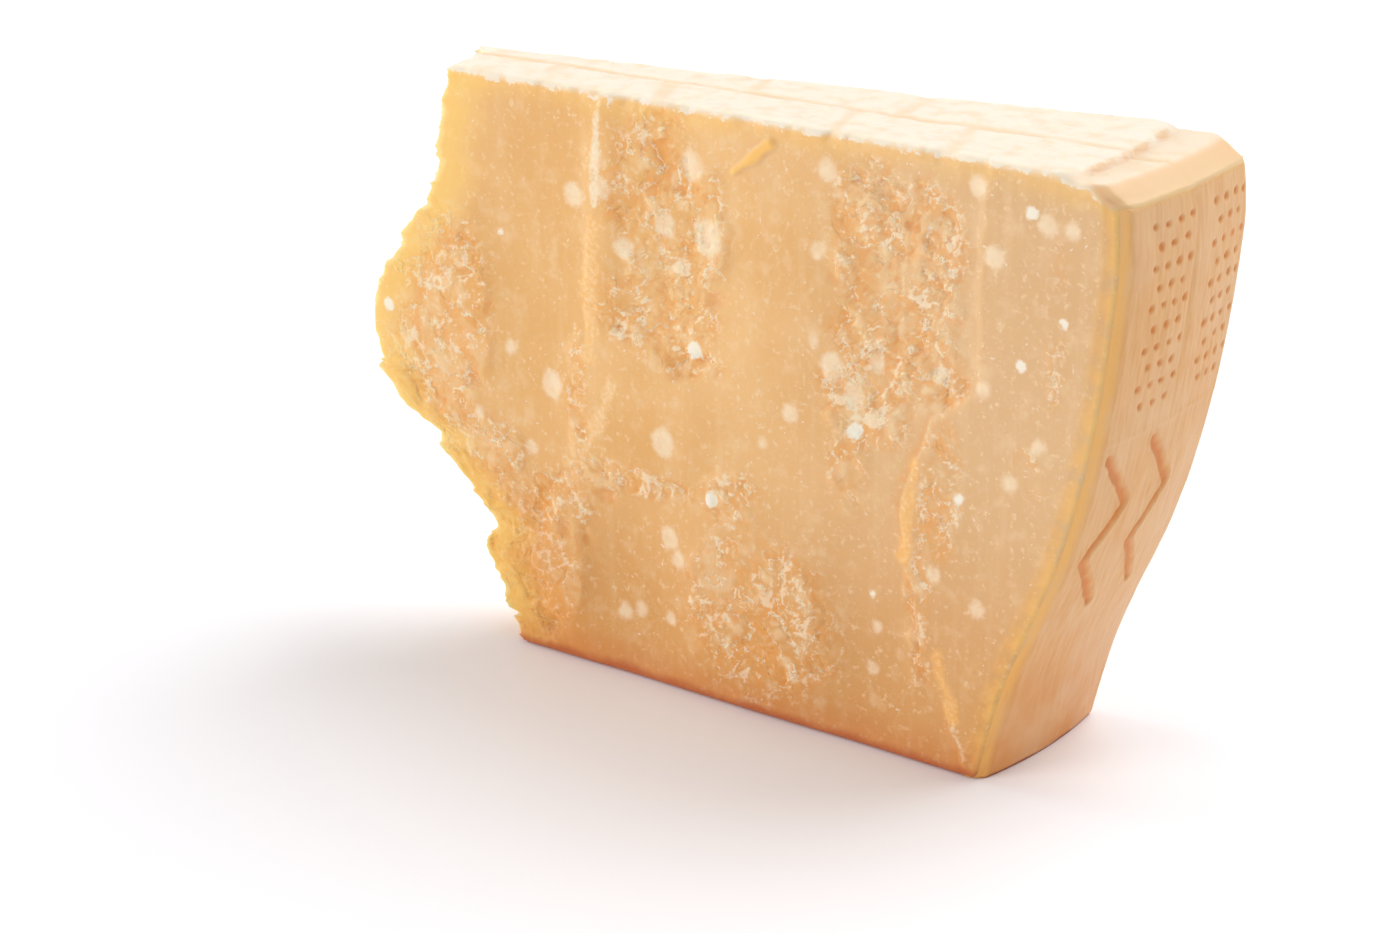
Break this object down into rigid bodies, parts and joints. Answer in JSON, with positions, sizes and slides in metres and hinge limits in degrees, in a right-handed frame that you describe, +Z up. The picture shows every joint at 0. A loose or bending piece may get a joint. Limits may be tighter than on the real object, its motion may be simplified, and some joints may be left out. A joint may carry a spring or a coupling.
{
  "type": "wedge of hard cheese",
  "caption": "Tall wedge of hard, granular aged cheese, broken on two sides and at the tip, with its curved rind and the stepped rim of the wheel, standing on the wheel's flat face.",
  "frame": {"origin": "Middle of the wedge's bounding box, in the plane that the wedge stands on.", "axes": "+X points from the broken tip to the rind, +Y from the front broken face to the back one, +Z up."},
  "size_m": [0.256, 0.066, 0.18],
  "materials": {
    "paste": "pale straw-yellow broken paste, waxy where it split cleanly and granular where it tore, with white crystals; the rind is a tan, slightly waxy skin"
  },
  "bodies": {
    "root": {"cheese": "paste"}
  },
  "joints": []
}
